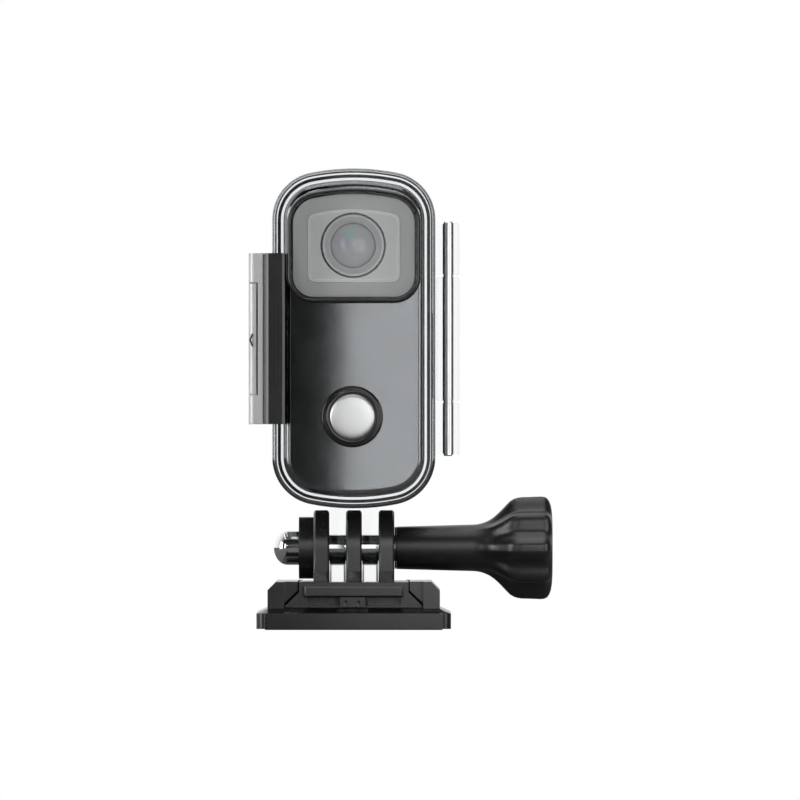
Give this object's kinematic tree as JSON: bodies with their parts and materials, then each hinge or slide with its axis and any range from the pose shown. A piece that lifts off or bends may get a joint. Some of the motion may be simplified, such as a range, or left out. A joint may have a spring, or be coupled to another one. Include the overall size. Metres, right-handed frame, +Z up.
{
  "type": "action camera in waterproof case on quick-release mount",
  "caption": "Thumb-size action camera in a clear waterproof case with side latch, lens window and front button, on a fingered quick-release buckle, thumb screw and stick-down base.",
  "frame": {"origin": "middle of the adhesive pad's underside", "axes": "+Z up, the lens looks along -Y, the thumb screw's knob is at +X"},
  "size_m": [0.0578, 0.041, 0.0876],
  "materials": {
    "clear_plastic": "clear polycarbonate",
    "window_plastic": "clear, hazy grey",
    "black_gloss": "glossy black",
    "black_plastic": "satin black, moulded",
    "latch_grey": "satin grey",
    "camera_metal": "dark glossy metallic paint",
    "lens_cover": "smooth grey",
    "lens_glass": "coated glass",
    "chrome_plate": "bright chrome",
    "steel": "brushed",
    "rubber_black": "matte black",
    "foam_pad": "closed-cell foam tape",
    "circuit_board": "green solder mask",
    "battery_wrap": "blue wrap"
  },
  "bodies": {
    "base": {"mount_base": "black_plastic", "adhesive_pad": "foam_pad"},
    "buckle": {"buckle": "black_plastic", "captive_nut": "chrome_plate"},
    "washer": {"thrust_washer": "black_plastic"},
    "screw": {"screw_stud": "chrome_plate", "screw_knob": "black_gloss"},
    "case": {"front_shell": "clear_plastic", "lens_window": "window_plastic", "window_frame": "black_gloss", "window_gasket": "rubber_black", "hinge_pin": "steel", "latch_catch": "black_gloss", "button_collar": "black_gloss", "button_o_ring": "rubber_black", "button_spring": "steel", "camera_front_shell": "camera_metal", "camera_rear_shell": "camera_metal", "camera_screw_1": "steel", "camera_screw_2": "steel", "camera_screw_3": "steel", "camera_screw_4": "steel", "port_cover": "rubber_black", "lens_panel": "lens_cover", "lens_mask": "black_gloss", "lens_ring": "black_gloss", "front_glass": "lens_glass", "inner_lens": "lens_glass", "rear_lens": "lens_glass", "lens_barrel": "black_plastic", "sensor_chip": "black_gloss", "sensor_board": "circuit_board", "main_board": "circuit_board", "processor": "black_plastic", "battery": "battery_wrap", "memory_card": "black_plastic", "button_switch": "black_plastic"},
    "door": {"rear_door": "clear_plastic", "door_gasket": "rubber_black", "latch_pin": "steel", "door_cushion": "foam_pad"},
    "latch": {"latch_clip": "latch_grey"},
    "slider": {"lock_slider": "latch_grey", "slider_mark": "black_plastic"},
    "case_button": {"button_cap": "steel", "button_stem": "steel", "stem_clip": "steel"},
    "shutter": {"camera_button": "rubber_black"}
  },
  "joints": [
    {"name": "buckle_slide", "type": "slide", "parent": "base", "child": "buckle", "axis": [0, -1, 0], "range_m": [0, 0.03]},
    {"name": "camera_tilt", "type": "hinge", "parent": "buckle", "child": "case", "pos_m": [0, 0, 0.0154], "axis": [1, 0, 0], "range_deg": [-55, 55]},
    {"name": "screw_travel", "type": "slide", "parent": "buckle", "child": "washer", "axis": [1, 0, 0], "range_m": [0, 0.004]},
    {"name": "thumb_screw_turn", "type": "hinge", "parent": "washer", "child": "screw", "pos_m": [0, 0, 0.0154], "axis": [1, 0, 0], "range_deg": [0, 1800.1]},
    {"name": "door_hinge", "type": "hinge", "parent": "case", "child": "door", "pos_m": [0.01795, 0.004, 0.0553], "axis": [0, 0, -1], "range_deg": [0, 110]},
    {"name": "latch_swing", "type": "hinge", "parent": "door", "child": "latch", "pos_m": [-0.01855, 0.0095, 0.0553], "axis": [0, 0, -1], "range_deg": [0, 120]},
    {"name": "lock_slide", "type": "slide", "parent": "latch", "child": "slider", "axis": [0, 1, 0], "range_m": [0, 0.0025]},
    {"name": "case_button_press", "type": "slide", "parent": "case", "child": "case_button", "axis": [0, 1, 0], "range_m": [0, 0.001], "stiffness_N_per_m": 300, "springref_m": -0.0008, "deforming": ["button_spring"]},
    {"name": "camera_button_press", "type": "slide", "parent": "case", "child": "shutter", "axis": [0, 1, 0], "range_m": [0, 0.0007]}
  ],
  "couplings": [
    {"joint": "thumb_screw_turn", "follows": "screw_travel", "rad_per_m": 7854},
    {"joint": "camera_button_press", "follows": "case_button_press", "ratio": 0.7}
  ]
}
